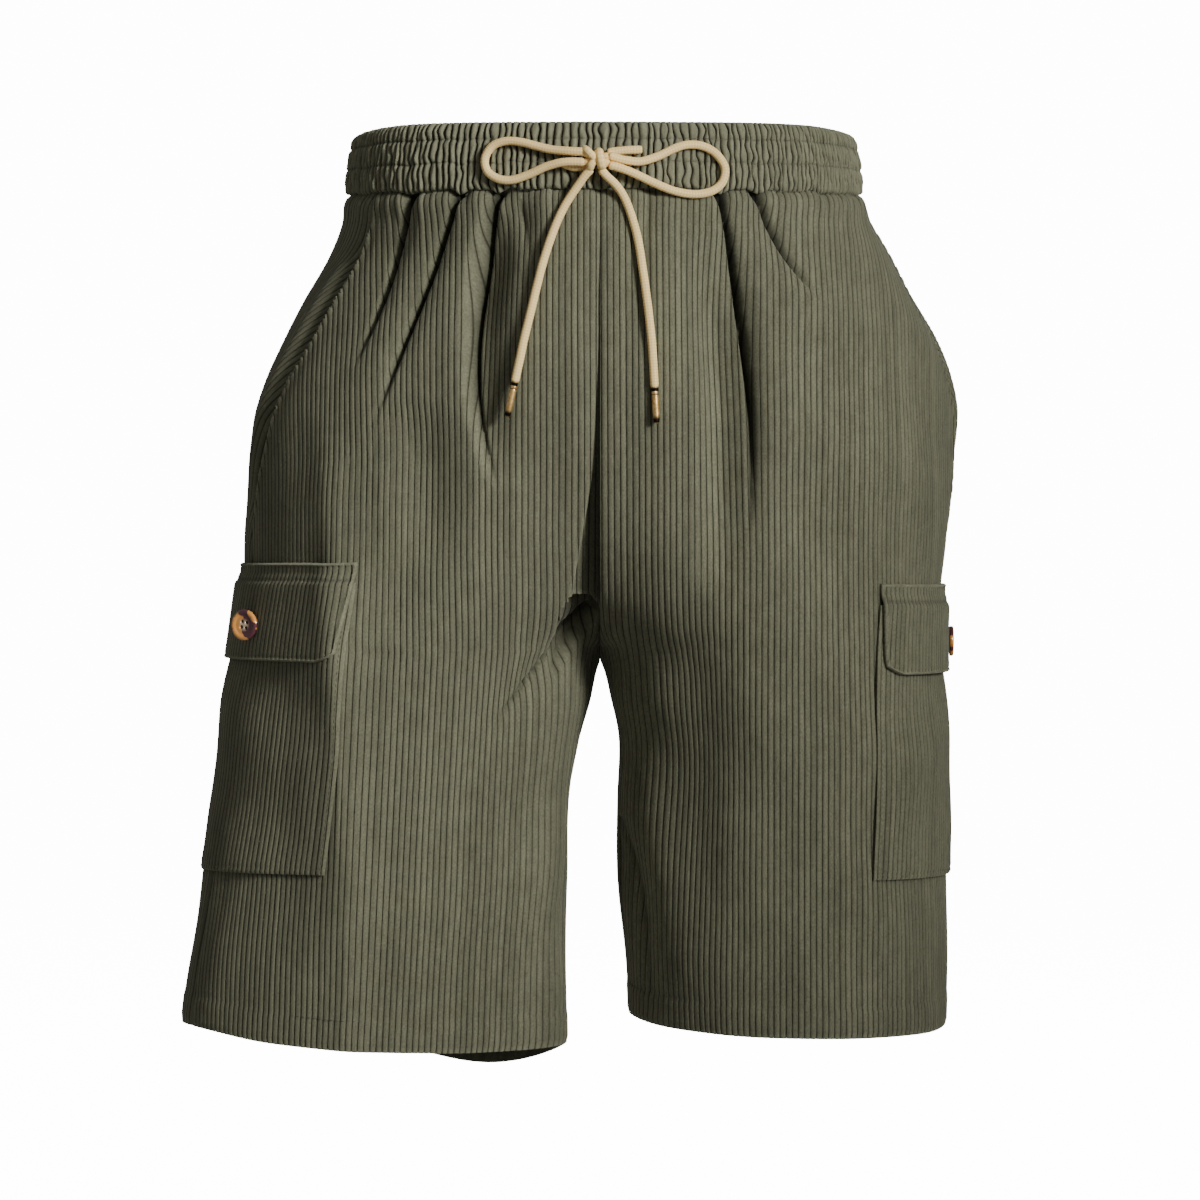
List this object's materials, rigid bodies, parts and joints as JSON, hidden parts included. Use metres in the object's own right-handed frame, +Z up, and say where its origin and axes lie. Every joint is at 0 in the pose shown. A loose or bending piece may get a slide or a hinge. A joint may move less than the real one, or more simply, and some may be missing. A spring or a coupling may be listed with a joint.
{
  "type": "cargo shorts",
  "caption": "Olive wide-wale corduroy cargo shorts with a gathered elastic waist, a cream drawstring bow and buttoned side pockets, filled out as worn",
  "frame": {"origin": "centre of the waistband at mid-height, where the wearer's waist holds the shorts", "axes": "+X to the wearer's left, +Y to the back, +Z up"},
  "size_m": [0.4538, 0.274, 0.56],
  "materials": {
    "corduroy": "wide-wale corduroy, matt, dark grooves between the wales",
    "cotton_cord": "cream braided cotton cord, matt",
    "tortoiseshell": "amber and brown tortoiseshell, polished",
    "brass": "aged brass, satin"
  },
  "bodies": {
    "root": {"front_right": "corduroy", "front_left": "corduroy", "back_right": "corduroy", "back_left": "corduroy", "waistband": "corduroy", "cargo_pocket_right": "corduroy", "cargo_pocket_left": "corduroy", "pocket_flap_right": "corduroy", "pocket_flap_left": "corduroy", "button_right": "tortoiseshell", "button_left": "tortoiseshell", "bow_knot": "cotton_cord", "bow_loop_right": "cotton_cord", "bow_loop_left": "cotton_cord", "cord_end_right": "cotton_cord", "cord_end_left": "cotton_cord", "cord_lead_right": "cotton_cord", "cord_lead_left": "cotton_cord", "aglet_right": "brass", "aglet_left": "brass"}
  },
  "joints": []
}
